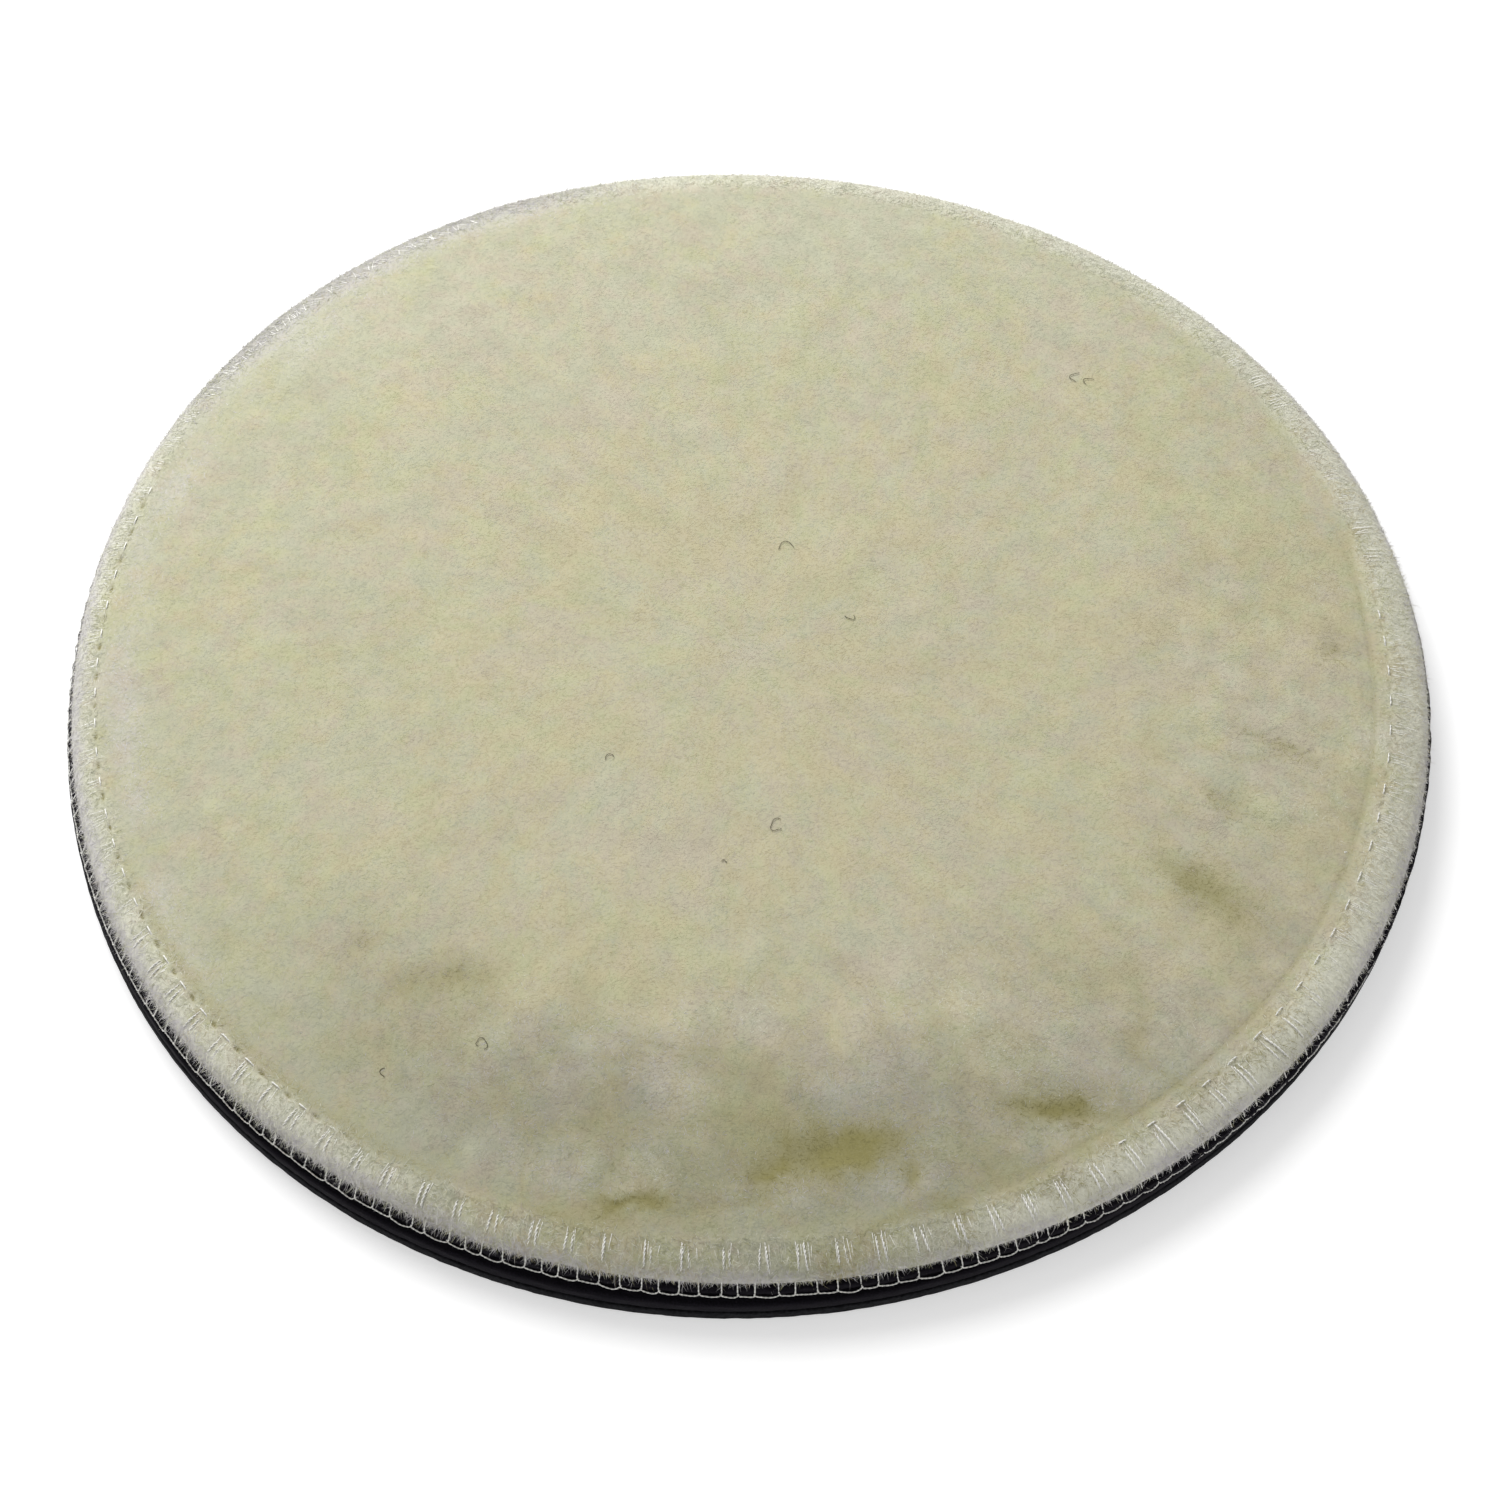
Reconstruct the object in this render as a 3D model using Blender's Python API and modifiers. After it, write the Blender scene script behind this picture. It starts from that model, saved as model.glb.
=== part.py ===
"""A round 150 mm wool polishing pad, built up from its layers and its three sewing threads.

Units are metres and +Z is up. The origin is the middle of the underside, the face that sticks to a
machine's hook-faced backing plate; the wool face looks up.

From the bottom: the loop nap and its knitted cloth, the foam cushion, a glue film, a stiffening
felt, the cloth that the wool is rooted in, and the wool pile. The felt, the wool cloth and the pile
are sewn together around the edge with a three-thread overlock before the cushion is glued on, so
the seam's underside lies in a rebate in the cushion's upper rim.
"""

import math

import bpy

# Clearance left between layers that lie on each other.
LAYER_GAP = 0.0003

# Thickness of each layer, from the bottom up.
LOOP_NAP_HEIGHT = 0.0005
LOOP_CLOTH_THICKNESS = 0.0004
FOAM_THICKNESS = 0.0020
GLUE_FILM_THICKNESS = 0.0001
FELT_THICKNESS = 0.0008
WOOL_CLOTH_THICKNESS = 0.0004

# Radius of each layer.
LOOP_NAP_RADIUS = 0.0745
LOOP_CLOTH_RADIUS = 0.0747
FOAM_RADIUS = 0.0750
GLUE_FILM_RADIUS = 0.0696
FELT_RADIUS = 0.0739
WOOL_CLOTH_RADIUS = 0.0736
WOOL_RADIUS = 0.0743

# The cushion: how far its cut edge is eased, and the rebate that takes the seam's underside.
FOAM_EDGE = 0.0003
REBATE_RADIUS = 0.0700
REBATE_DEPTH = 0.0007

# The wool pile above its cloth: a gently crowned face, a shoulder, and a bead outside the seam.
PILE_CROWN = 0.0050
PILE_SHOULDER = 0.0042
SEAM_PRESSED = 0.0002
BEAD_HEIGHT = 0.0015
FACE_RADIUS = 0.0660

# The overlock seam.
SEAM_RADIUS = 0.0707
STITCHES = 114
THREAD_RADIUS = 0.00018
THREAD_CLEAR = 0.0005
NEEDLE_RISE = 0.00095
NEEDLE_DIP = 0.00075

TURN_STEPS = 96
SHARP_ANGLE = math.radians(35)


def clear_scene():
    """Remove whatever the open file holds."""
    for obj in list(bpy.data.objects):
        bpy.data.objects.remove(obj, do_unlink=True)


def make_material(name, colour, roughness, sheen=0.0):
    """A Principled material with one colour."""
    material = bpy.data.materials.new(name)
    material.use_nodes = True
    shader = material.node_tree.nodes["Principled BSDF"]
    shader.inputs["Base Color"].default_value = (*colour, 1.0)
    shader.inputs["Roughness"].default_value = roughness
    shader.inputs["Metallic"].default_value = 0.0
    shader.inputs["Sheen Weight"].default_value = sheen
    return material


def add_part(obj, material, height):
    """Link an object into the pad's collection at its height on the pad's axis."""
    obj.data.materials.append(material)
    obj.location.z = height
    obj.parent = pad_axis
    pad.objects.link(obj)
    return obj


def turned(name, profile, material, height):
    """Turn a profile of (radius, height) points, listed from the top down, about the pad's axis."""
    outline = bpy.data.meshes.new(name)
    points = [(radius, 0.0, z) for radius, z in profile]
    edges = [(i, i + 1) for i in range(len(points) - 1)]
    outline.from_pydata(points, edges, [])
    obj = add_part(bpy.data.objects.new(name, outline), material, height)

    screw = obj.modifiers.new("Turn", "SCREW")
    screw.angle = math.tau
    screw.steps = TURN_STEPS
    screw.render_steps = TURN_STEPS
    screw.use_merge_vertices = True
    screw.merge_threshold = 0.00001

    graph = bpy.context.evaluated_depsgraph_get()
    solid = bpy.data.meshes.new_from_object(obj.evaluated_get(graph))
    obj.modifiers.clear()
    obj.data = solid
    solid.name = name
    solid.shade_smooth()
    solid.set_sharp_from_angle(angle=SHARP_ANGLE)
    return obj


def disc(name, radius, thickness, material, height):
    """A flat round layer that stands on the given height."""
    profile = [(0.0, thickness), (radius, thickness), (radius, 0.0), (0.0, 0.0)]
    return turned(name, profile, material, height)


def endless_thread(name, stitch, material, height):
    """Repeat one stitch around the edge as a closed tube.

    The stitch lists (share of the stitch length, radius, height) points along the thread.
    """
    curve = bpy.data.curves.new(name, "CURVE")
    curve.dimensions = "3D"
    curve.bevel_depth = THREAD_RADIUS
    curve.bevel_resolution = 0
    spline = curve.splines.new("POLY")
    spline.points.add(STITCHES * len(stitch) - 1)
    spline.use_cyclic_u = True
    for number in range(STITCHES):
        for step, (share, radius, z) in enumerate(stitch):
            angle = math.tau * (number + share) / STITCHES
            point = spline.points[number * len(stitch) + step]
            point.co = (radius * math.cos(angle), radius * math.sin(angle), z, 1.0)
    return add_part(bpy.data.objects.new(name, curve), material, height)


clear_scene()
pad = bpy.data.collections.new("polishing_pad")
bpy.context.scene.collection.children.link(pad)
pad_axis = bpy.data.objects.new("pad_axis", None)
pad_axis.empty_display_size = 0.02
pad.objects.link(pad_axis)

wool = make_material("sheared_wool", (0.52, 0.48, 0.31), 0.95, sheen=0.3)
wool_backing = make_material("cream_knitted_cloth", (0.60, 0.56, 0.44), 0.9)
felt = make_material("black_felt", (0.012, 0.011, 0.014), 0.95)
glue = make_material("clear_glue", (0.55, 0.52, 0.42), 0.45)
foam = make_material("black_foam", (0.008, 0.008, 0.009), 0.85)
loop_fabric = make_material("black_loop_fabric", (0.010, 0.010, 0.012), 0.75, sheen=0.2)
thread = make_material("white_polyester_thread", (0.72, 0.71, 0.68), 0.3)

# The underside: the nap grips the hooks, and the knitted cloth carries it.
level = 0.0
disc("loop_nap", LOOP_NAP_RADIUS, LOOP_NAP_HEIGHT, loop_fabric, level)
level += LOOP_NAP_HEIGHT + LAYER_GAP
disc("loop_backing_cloth", LOOP_CLOTH_RADIUS, LOOP_CLOTH_THICKNESS, loop_fabric, level)
level += LOOP_CLOTH_THICKNESS + LAYER_GAP

# The cushion, with its cut edge eased and its upper rim rebated for the seam.
rebate_floor = FOAM_THICKNESS - REBATE_DEPTH
turned(
    "foam_cushion",
    [
        (0.0, FOAM_THICKNESS),
        (REBATE_RADIUS, FOAM_THICKNESS),
        (REBATE_RADIUS, rebate_floor),
        (FOAM_RADIUS - FOAM_EDGE, rebate_floor),
        (FOAM_RADIUS, rebate_floor - FOAM_EDGE),
        (FOAM_RADIUS, FOAM_EDGE),
        (FOAM_RADIUS - FOAM_EDGE, 0.0),
        (0.0, 0.0),
    ],
    foam,
    level,
)
level += FOAM_THICKNESS + LAYER_GAP
disc("glue_film", GLUE_FILM_RADIUS, GLUE_FILM_THICKNESS, glue, level)
level += GLUE_FILM_THICKNESS + LAYER_GAP

# The sewn sandwich: felt, the wool's own cloth, and the pile.
felt_level = level
disc("stiffening_felt", FELT_RADIUS, FELT_THICKNESS, felt, level)
level += FELT_THICKNESS + LAYER_GAP
disc("wool_backing_cloth", WOOL_CLOTH_RADIUS, WOOL_CLOTH_THICKNESS, wool_backing, level)
level += WOOL_CLOTH_THICKNESS + LAYER_GAP

# The pile is full height over the face, falls steeply to where the seam presses it down, and
# swells again into the bead that the looper threads bind.
pile_level = level
bead_crest = (SEAM_RADIUS + WOOL_RADIUS) / 2
turned(
    "wool_pile",
    [
        (0.0, PILE_CROWN),
        (FACE_RADIUS * 0.40, PILE_CROWN - 0.0001),
        (FACE_RADIUS * 0.75, PILE_CROWN - 0.0004),
        (FACE_RADIUS, PILE_SHOULDER),
        (SEAM_RADIUS - 0.0024, PILE_SHOULDER - 0.0006),
        (SEAM_RADIUS - 0.0013, PILE_SHOULDER * 0.60),
        (SEAM_RADIUS - 0.0007, PILE_SHOULDER * 0.25),
        (SEAM_RADIUS - 0.0004, SEAM_PRESSED),
        (SEAM_RADIUS + 0.0006, SEAM_PRESSED),
        (bead_crest - 0.0007, BEAD_HEIGHT - 0.0002),
        (bead_crest + 0.0002, BEAD_HEIGHT),
        (WOOL_RADIUS - 0.0005, BEAD_HEIGHT - 0.0004),
        (WOOL_RADIUS, BEAD_HEIGHT - 0.0010),
        (WOOL_RADIUS, 0.0),
        (0.0, 0.0),
    ],
    wool,
    pile_level,
)

# The needle thread lies in the pressed line and dips between one dash and the next.
endless_thread(
    "needle_thread",
    [
        (0.10, SEAM_RADIUS, NEEDLE_RISE),
        (0.65, SEAM_RADIUS, NEEDLE_RISE),
        (0.88, SEAM_RADIUS, NEEDLE_DIP),
    ],
    thread,
    pile_level,
)

# The upper looper thread runs from each needle point over the bead to the edge, along the edge,
# and back to the next needle point.
leg_root = SEAM_RADIUS + 0.0007
leg_shoulder = WOOL_RADIUS + THREAD_CLEAR
chain_radius = FELT_RADIUS + THREAD_CLEAR + 0.0001
pile_to_felt = pile_level - felt_level
endless_thread(
    "upper_looper_thread",
    [
        (0.06, leg_root, BEAD_HEIGHT + 0.0001),
        (0.18, leg_shoulder, BEAD_HEIGHT + 0.0008),
        (0.27, chain_radius, 0.00015 - pile_to_felt),
        (0.73, chain_radius, 0.00015 - pile_to_felt),
        (0.82, leg_shoulder, BEAD_HEIGHT + 0.0008),
        (0.94, leg_root, BEAD_HEIGHT + 0.0001),
    ],
    thread,
    pile_level,
)

# The lower looper thread fills the edge between the upper one's spans, then runs in under the
# felt and back out, halfway between two needle points.
endless_thread(
    "lower_looper_thread",
    [
        (-0.29, chain_radius - 0.0001, -0.00055),
        (0.29, chain_radius - 0.0001, -0.00055),
        (0.44, leg_root, -0.00055),
        (0.56, leg_root, -0.00055),
    ],
    thread,
    felt_level,
)
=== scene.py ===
import math

import bpy
import numpy as np
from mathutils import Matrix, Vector


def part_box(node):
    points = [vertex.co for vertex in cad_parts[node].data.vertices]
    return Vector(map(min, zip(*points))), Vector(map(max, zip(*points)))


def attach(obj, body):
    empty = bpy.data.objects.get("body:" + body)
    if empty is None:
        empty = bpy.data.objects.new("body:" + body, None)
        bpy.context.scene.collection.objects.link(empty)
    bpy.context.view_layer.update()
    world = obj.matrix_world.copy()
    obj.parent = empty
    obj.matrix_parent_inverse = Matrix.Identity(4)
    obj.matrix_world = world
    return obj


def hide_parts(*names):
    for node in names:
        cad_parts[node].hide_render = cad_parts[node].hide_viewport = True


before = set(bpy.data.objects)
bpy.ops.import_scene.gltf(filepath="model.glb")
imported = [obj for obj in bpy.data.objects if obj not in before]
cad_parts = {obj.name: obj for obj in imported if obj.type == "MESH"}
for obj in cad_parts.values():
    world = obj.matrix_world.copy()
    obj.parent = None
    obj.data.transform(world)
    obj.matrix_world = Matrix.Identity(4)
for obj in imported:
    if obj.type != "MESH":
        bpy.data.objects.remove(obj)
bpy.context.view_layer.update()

# The looks of a 150 mm wool polishing pad: sheared wool fibres over a soft pile, an overlocked edge
# of plied thread, black felt and foam below, and a brushed loop face underneath. Units are metres.
# Places round the pad are given by radius, angle and height; +X is at 0 degrees, the camera's side
# at 270. Each number at the end of a call of lumps is the seed of that random field.

MM = 0.001
BODY = "root"


def outer_radius(node):
    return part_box(node)[1][0]


def bottom_of(node):
    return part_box(node)[0][2]


def top_of(node):
    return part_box(node)[1][2]


# Heights and radii that come from the frame.
PAD_RADIUS = outer_radius("foam_cushion")
WOOL_RADIUS = outer_radius("wool_pile")
WOOL_BOTTOM = bottom_of("wool_pile")
FELT_RADIUS = outer_radius("stiffening_felt")
CHAIN_HEIGHT = bottom_of("stiffening_felt") + 0.35 * MM
UNDER_SEAM = bottom_of("lower_looper_thread") + 0.2 * MM

# The overlock seam. Stitches are numbered anticlockwise from the first one's angle.
STITCHES = 114
SEAM_RADIUS = PAD_RADIUS - 4.5 * MM
SEAM_HEIGHT = WOOL_BOTTOM + 2.40 * MM
FIRST_STITCH = math.radians(148)
STITCH_DRIFT = 0.05
LEG_THICKNESS = 0.135 * MM
CHAIN_THICKNESS = 0.09 * MM
NEEDLE_THICKNESS = 0.10 * MM
CHAIN_RADIUS = FELT_RADIUS + 0.75 * MM

# The pile's face rises in a soft pillow from the needle line to the crown.
PILLOW_RISE = 2.35 * MM
PILLOW_WIDTH = 10.0 * MM
CROWN_RISE = 0.10 * MM
SHELF_WIDTH = 1.8 * MM
SHELF_BEND = 1.2 * MM
CREASE_DEPTH = 0.06 * MM
GROOVE_DEPTH = 0.06 * MM
HOLE_DEPTH = 0.34 * MM
LEG_DENT = 0.10 * MM

# Outside the needle line the wool rolls over the edge in a quarter of an ellipse. Its centre lies
# inside the needle line, and its turn runs from 90 degrees at the top to 0 at the outermost point.
ROLL_RADIUS = WOOL_RADIUS - 0.3 * MM
ROLL_RISE = 2.65 * MM
ROLL_FOOT = WOOL_BOTTOM + 0.10 * MM
ROLL_START = 60
ROLL_END = -14

# Parts of the edge: the direction of the middle, and how far to each side the part is full and
# where it ends, in degrees.
FRONT = (267, 22, 45)
RIGHT = (333, 30, 48)
HIDDEN_LEGS = (92, 44, 56)
HIDDEN_NEEDLE = (84, 71, 80)
BRIGHT_LEGS = (265, 52, 72)
LONG_LEGS = (305, 15, 30)
# The worn front: flattened pile, darkened also as painted shade of the slope that faces away from the light.
WORN_FRONT_AND_PAINTED_SHADE = (266, 20, 62)
FUZZY = (228, 18, 40)
# Greyer wool at the seam's start, whose rim is also darkened with painted shade.
GREY_RIM_AND_PAINTED_SHADE = (128, 14, 30)
YELLOWED = (264, 14, 32)
# Painted light: the bead at the front right is brightened where it faces away from the light.
PAINTED_LIGHT_FRONT_RIGHT = (312, 16, 32)
LEFT = (175, 30, 50)
LEFT_CREASE = (224, 14, 28)

# Where the seam starts and finishes, in degrees.
OVERLAP = (116, 147)

# How the hand-guided edge wanders from a circle: waves round the pad, size, angle of the peak.
EDGE_WANDER = [(1, 0.75 * MM, -115), (2, 0.65 * MM, -12), (3, 0.30 * MM, 6), (4, 0.20 * MM, 43)]
SEAM_WANDER = [(1, 0.78 * MM, 180)]
BASE_WANDER = [(0, 0.14 * MM, 0), (1, 0.28 * MM, 177), (2, 0.28 * MM, 28), (3, 0.23 * MM, 7)]

# Partings in the pile: x and y of the middle (mm), heading (degrees), length, width, depth (mm),
# and how much of the yellow grease at the fibres' roots shows, together with painted shade in the crevice.
PARTINGS = [
    (-12.0, -66.4, 3, 8.5, 0.6, 0.15, 1.00),
    (1.5, -63.4, 0, 3.5, 0.7, 0.20, 0.60),
    (2.0, -62.0, 8, 15.0, 3.0, 0.00, 0.25),
    (8.3, -61.4, 9, 11.0, 1.6, 0.30, 0.95),
    (11.5, -59.8, 14, 11.0, 2.0, 0.10, 0.50),
    (16.5, -63.5, 80, 3.5, 0.8, 0.20, 0.60),
    (31.0, -55.8, -2, 10.0, 0.9, 0.25, 0.85),
    (31.5, -54.8, -2, 16.0, 1.8, 0.00, 0.33),
    (48.0, -29.7, -40, 12.0, 1.6, 0.25, 0.60),
    (57.5, -11.5, -25, 9.5, 0.5, 0.15, 0.45),
    (50.8, -19.0, -44, 6.5, 0.8, 0.15, 0.35),
    (63.8, 1.2, -30, 3.0, 0.9, 0.3, 0.45),
    (-30.0, -40.8, 0, 6.5, 1.5, 0.2, 0.55),
    (-36.0, -41.5, -40, 5.0, 1.6, 0.2, 0.35),
    (-40.5, -36.5, -50, 4.0, 1.4, 0.2, 0.30),
]


# --- Fields and placing ---


def near(distance, width):
    """1 at no distance, falling smoothly to nothing beyond the width."""
    return np.exp(-((distance / width) ** 2))


def ease(low, high, value):
    """0 below low, 1 above high, and a smooth step between."""
    share = np.clip((value - low) / (high - low), 0.0, 1.0)
    return share * share * (3.0 - 2.0 * share)


def lumps(x, y, size, seed):
    """A smooth random field between about -1 and 1, with lumps of the given size."""
    cells = 96
    grid = np.random.default_rng(seed).uniform(-1.0, 1.0, (cells, cells))
    across, along = x / size + cells / 2, y / size + cells / 2
    column, row = np.floor(across).astype(int), np.floor(along).astype(int)
    u, v = ease(0.0, 1.0, across - column), ease(0.0, 1.0, along - row)
    column, row = column % (cells - 1), row % (cells - 1)
    low = grid[row, column] * (1 - u) + grid[row, column + 1] * u
    high = grid[row + 1, column] * (1 - u) + grid[row + 1, column + 1] * u
    return low * (1 - v) + high * v


def wander(angle, waves):
    """How far the edge is from its circle at an angle."""
    return sum(size * np.cos(count * (angle - math.radians(peak))) for count, size, peak in waves)


def place(radius, angle, height, waves=EDGE_WANDER):
    """The x, y, z of points given by radius, angle and height, with the edge's wander."""
    radius, angle, height = np.broadcast_arrays(radius, angle, height)
    reach = radius + wander(angle, waves) * (radius / SEAM_RADIUS) ** 2
    return np.stack([reach * np.cos(angle), reach * np.sin(angle), height], axis=-1)


def toward(angle):
    """Level unit vectors, one for each angle."""
    return np.stack([np.cos(angle), np.sin(angle), 0.0 * angle], axis=-1)


def part_share(angle, part):
    """1 well inside a part of the edge, falling smoothly to 0 at its ends."""
    middle, full, end = (math.radians(value) for value in part)
    away = np.arctan2(np.sin(angle - middle), np.cos(angle - middle))
    return ease(end, full, np.abs(away))


# --- Stitch positions ---

PITCH = math.tau / STITCHES
drift = np.random.default_rng(11).uniform(-STITCH_DRIFT, STITCH_DRIFT, STITCHES)
drift_ends = np.append(drift, drift[0])


def seam_angle(position):
    """The angle of a position along the seam, counted in stitches."""
    whole = np.mod(position, STITCHES)
    return FIRST_STITCH + PITCH * (position + np.interp(whole, range(STITCHES + 1), drift_ends))


def seam_position(angle):
    """The position along the seam, in stitches, at an angle."""
    position = np.mod((angle - FIRST_STITCH) / PITCH, STITCHES)
    return position - np.interp(position, range(STITCHES + 1), drift_ends)


def from_stitch(position, offset):
    """How far a position is from the nearest stitch's mark at the given offset, in stitches."""
    return np.abs(np.mod(position - offset + 0.5, 1.0) - 0.5)


def first_leg(share):
    """Offset in stitches of a stitch's first leg, from the needle line (0) to the edge (1)."""
    return -0.09 + 0.04 * share - 0.08 * ease(0.6, 1.0, share)


def second_leg(share):
    """Offset in stitches of a stitch's second leg."""
    return 0.05 + 0.16 * share + 0.16 * ease(0.5, 1.0, share)


# --- The wool's surface ---


def seam_radius(angle):
    """The needle line's radius, before the edge's wander."""
    return SEAM_RADIUS + wander(angle, SEAM_WANDER)


def parting_fields(x, y):
    """(depth, stain with painted shade) of the partings at a place on the face."""
    depth, grease_and_shade_share = np.zeros_like(x), np.zeros_like(x)
    ragged = 0.5 * MM * lumps(x, y, 1.7 * MM, 21) + 0.4 * MM * lumps(x, y, 0.7 * MM, 22)
    for middle_x, middle_y, heading, length, width, deep, grease_and_painted_shade in PARTINGS:
        away_x, away_y = x - middle_x * MM, y - middle_y * MM
        cosine, sine = math.cos(math.radians(heading)), math.sin(math.radians(heading))
        along = away_x * cosine + away_y * sine
        across = away_y * cosine - away_x * sine + ragged
        ends = near(along, 0.5 * length * MM)
        depth += deep * MM * near(across, width * MM) * ends
        # The partings' yellow grease, with painted shade in the crevice.
        grease_and_shade_share += grease_and_painted_shade * near(across, 1.5 * width * MM) * ends
    mottled = 1.05 + 0.35 * lumps(x, y, 1.7 * MM, 23)
    return depth, np.minimum(grease_and_shade_share * mottled, 1.0)


def reach_at(x, y):
    """(angle, radius) of a place on the pad, with the edge's wander taken away."""
    angle = np.arctan2(y, x)
    return angle, np.hypot(x, y) - wander(angle, EDGE_WANDER)


def unrest(x, y):
    """How rumpled the face is: smooth at the back and left, lumpy at the front and right."""
    front = ease(-25 * MM, -55 * MM, y) * ease(-50 * MM, -10 * MM, x)
    right = ease(35 * MM, 60 * MM, x) * ease(25 * MM, 0.0, y)
    return np.maximum(front, right)


def tufts(x, y):
    """Rounded tufts of pile with narrow valleys between them: 0 in a valley, up to 1 on a tuft."""
    bent_x = x + 2.0 * MM * lumps(x, y, 5.0 * MM, 33)
    bent_y = y + 1.5 * MM * lumps(x, y, 3.5 * MM, 34)
    return np.abs(lumps(bent_x, bent_y, 9.0 * MM, 35)) ** 0.6


def needle_hidden(angle):
    """1 where the wool hides the needle line, and 0 where it shows."""
    return part_share(angle, FRONT) + part_share(angle, HIDDEN_NEEDLE)


def hole_share(position, inward):
    """1 in the middle of a needle hole, which is halfway between two needle points."""
    return near(from_stitch(position, 0.46), 0.115) * near(inward, 0.20 * MM)


def groove(position, inward, angle):
    """How deep the needle line and its holes sit below the wool around them."""
    line = GROOVE_DEPTH * near(inward, 0.45 * MM) * (0.6 + 0.4 * near(from_stitch(position, 0.0), 0.25))
    hole = HOLE_DEPTH * hole_share(position, inward) * (1.0 - 0.7 * part_share(angle, RIGHT))
    return (1.0 - needle_hidden(angle)) * (line + hole)


def pile_surface(inward, angle):
    """(radius, height) of the pile's face at a distance inward from the needle line."""
    shelf = SHELF_WIDTH * part_share(angle, RIGHT)
    beyond = 0.5 * (inward + np.hypot(inward - shelf, SHELF_BEND) - np.hypot(shelf, SHELF_BEND))
    height = SEAM_HEIGHT + PILLOW_RISE * (1.0 - np.exp(-beyond / PILLOW_WIDTH))
    height += CROWN_RISE * ease(0.0, SEAM_RADIUS, inward)
    height -= groove(seam_position(angle), inward, angle)
    height -= CREASE_DEPTH * part_share(angle, RIGHT) * near(inward - shelf, 0.4 * MM)
    radius = seam_radius(angle) - inward
    x, y = radius * np.cos(angle), radius * np.sin(angle)
    rough = unrest(x, y)
    rumple = (0.09 + 0.06 * rough) * lumps(x, y, 11 * MM, 31)
    rumple += (0.05 + 0.06 * rough) * lumps(x, y, 4.5 * MM, 32)
    rumple += 0.24 * rough * ease(-0.5, 0.4, lumps(x, y, 15 * MM, 36)) * (tufts(x, y) - 0.6)
    soft = ease(0.2 * MM, 3.0 * MM, inward)
    return radius, height + soft * (rumple * MM - parting_fields(x, y)[0])


def roll_surface(down, angle):
    """(radius, height) of the wool outside the needle line, where down is 0, to below the edge, at 1."""
    position = seam_position(angle)
    turn = math.radians(ROLL_START + (ROLL_END - ROLL_START) * down)
    dents = near(from_stitch(position, first_leg(down)), 0.09)
    dents += near(from_stitch(position, second_leg(down)), 0.09)
    dents *= ease(1.0, 0.75, down) * ease(0.0, 0.1, down) * part_share(angle, BRIGHT_LEGS) ** 2
    middle = math.sin(math.pi * min(down * 1.5, 1.0))
    swell = 0.10 * MM * lumps(angle * SEAM_RADIUS, angle * 0.0, 5.0 * MM, 41) * middle - LEG_DENT * dents
    across = (ROLL_RADIUS - seam_radius(angle)) / (1.0 - math.cos(math.radians(ROLL_START)))
    radius = ROLL_RADIUS - across + (across + swell) * math.cos(turn)
    height = ROLL_FOOT + (ROLL_RISE + swell) * math.sin(turn)
    return radius, height - groove(position, radius - seam_radius(angle), angle)


def stain_and_painted_shade_at(x, y):
    """How yellow and dark the wool is: grease in partings, and painted shade in partings, needle holes,
    creases and valleys.
    """
    angle, radius = reach_at(x, y)
    inward = seam_radius(angle) - radius
    # Painted shade in the needle holes.
    hole = (1.0 - needle_hidden(angle)) * hole_share(seam_position(angle), inward)
    hole *= 1.0 - 0.6 * part_share(angle, RIGHT)
    # Painted shade in the creases: inside the shelf on the right, under the pile's lip at the front, and on
    # the left.
    crease = 0.30 * part_share(angle, RIGHT) * near(inward - SHELF_WIDTH, 0.35 * MM)
    under_lip = part_share(angle, FRONT) * ease(-0.4, 0.6, lumps(x, y, 5 * MM, 65))
    crease += 0.30 * under_lip * near(inward - 0.8 * MM, 0.6 * MM)
    crease += 0.32 * part_share(angle, LEFT_CREASE) * near(inward - 0.9 * MM, 0.8 * MM)
    patchy = ease(-0.3, 0.5, lumps(x, y, 13 * MM, 54))
    # Yellow grease with painted shade in the valleys between tufts.
    valley = 0.30 * unrest(x, y) * patchy * near(tufts(x, y), 0.25)
    return np.clip(parting_fields(x, y)[1] + hole + crease + valley, 0.0, 1.0)


def cloud_at(x, y):
    """The wool's mottling, from about -1 (grey) to 1 (yellow)."""
    broad = 0.30 * lumps(x, y, 12 * MM, 51) + 0.35 * lumps(x, y, 5 * MM, 52)
    fine = 0.40 * lumps(x, y, 2.2 * MM, 53) + 0.45 * lumps(x, y, 1.1 * MM, 55)
    fine += 0.4 * lumps(x, y, 0.6 * MM, 56)
    greyish = 0.50 * ease(20 * MM, 65 * MM, y) + 0.25 * ease(20 * MM, 60 * MM, -x)
    greyish += 0.60 * unrest(x, y) * (tufts(x, y) - 0.6) + 0.25 * ease(-42 * MM, -58 * MM, y)
    return broad * (1.0 + 0.8 * unrest(x, y)) + fine - greyish


def tint_at(x, y):
    """The wool's other mottling, from about -1 (greenish) to 1 (pinkish)."""
    broad = 0.25 * lumps(x, y, 9 * MM, 57) + 0.30 * lumps(x, y, 4 * MM, 58)
    fine = 0.50 * lumps(x, y, 1.8 * MM, 59) + 0.70 * lumps(x, y, 0.9 * MM, 60)
    greenish = 0.35 * ease(10 * MM, 60 * MM, y) + 0.35 * ease(20 * MM, 60 * MM, -x)
    greenish += 0.30 * ease(45 * MM, 60 * MM, -y)
    return 0.12 - greenish + broad + fine


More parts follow.
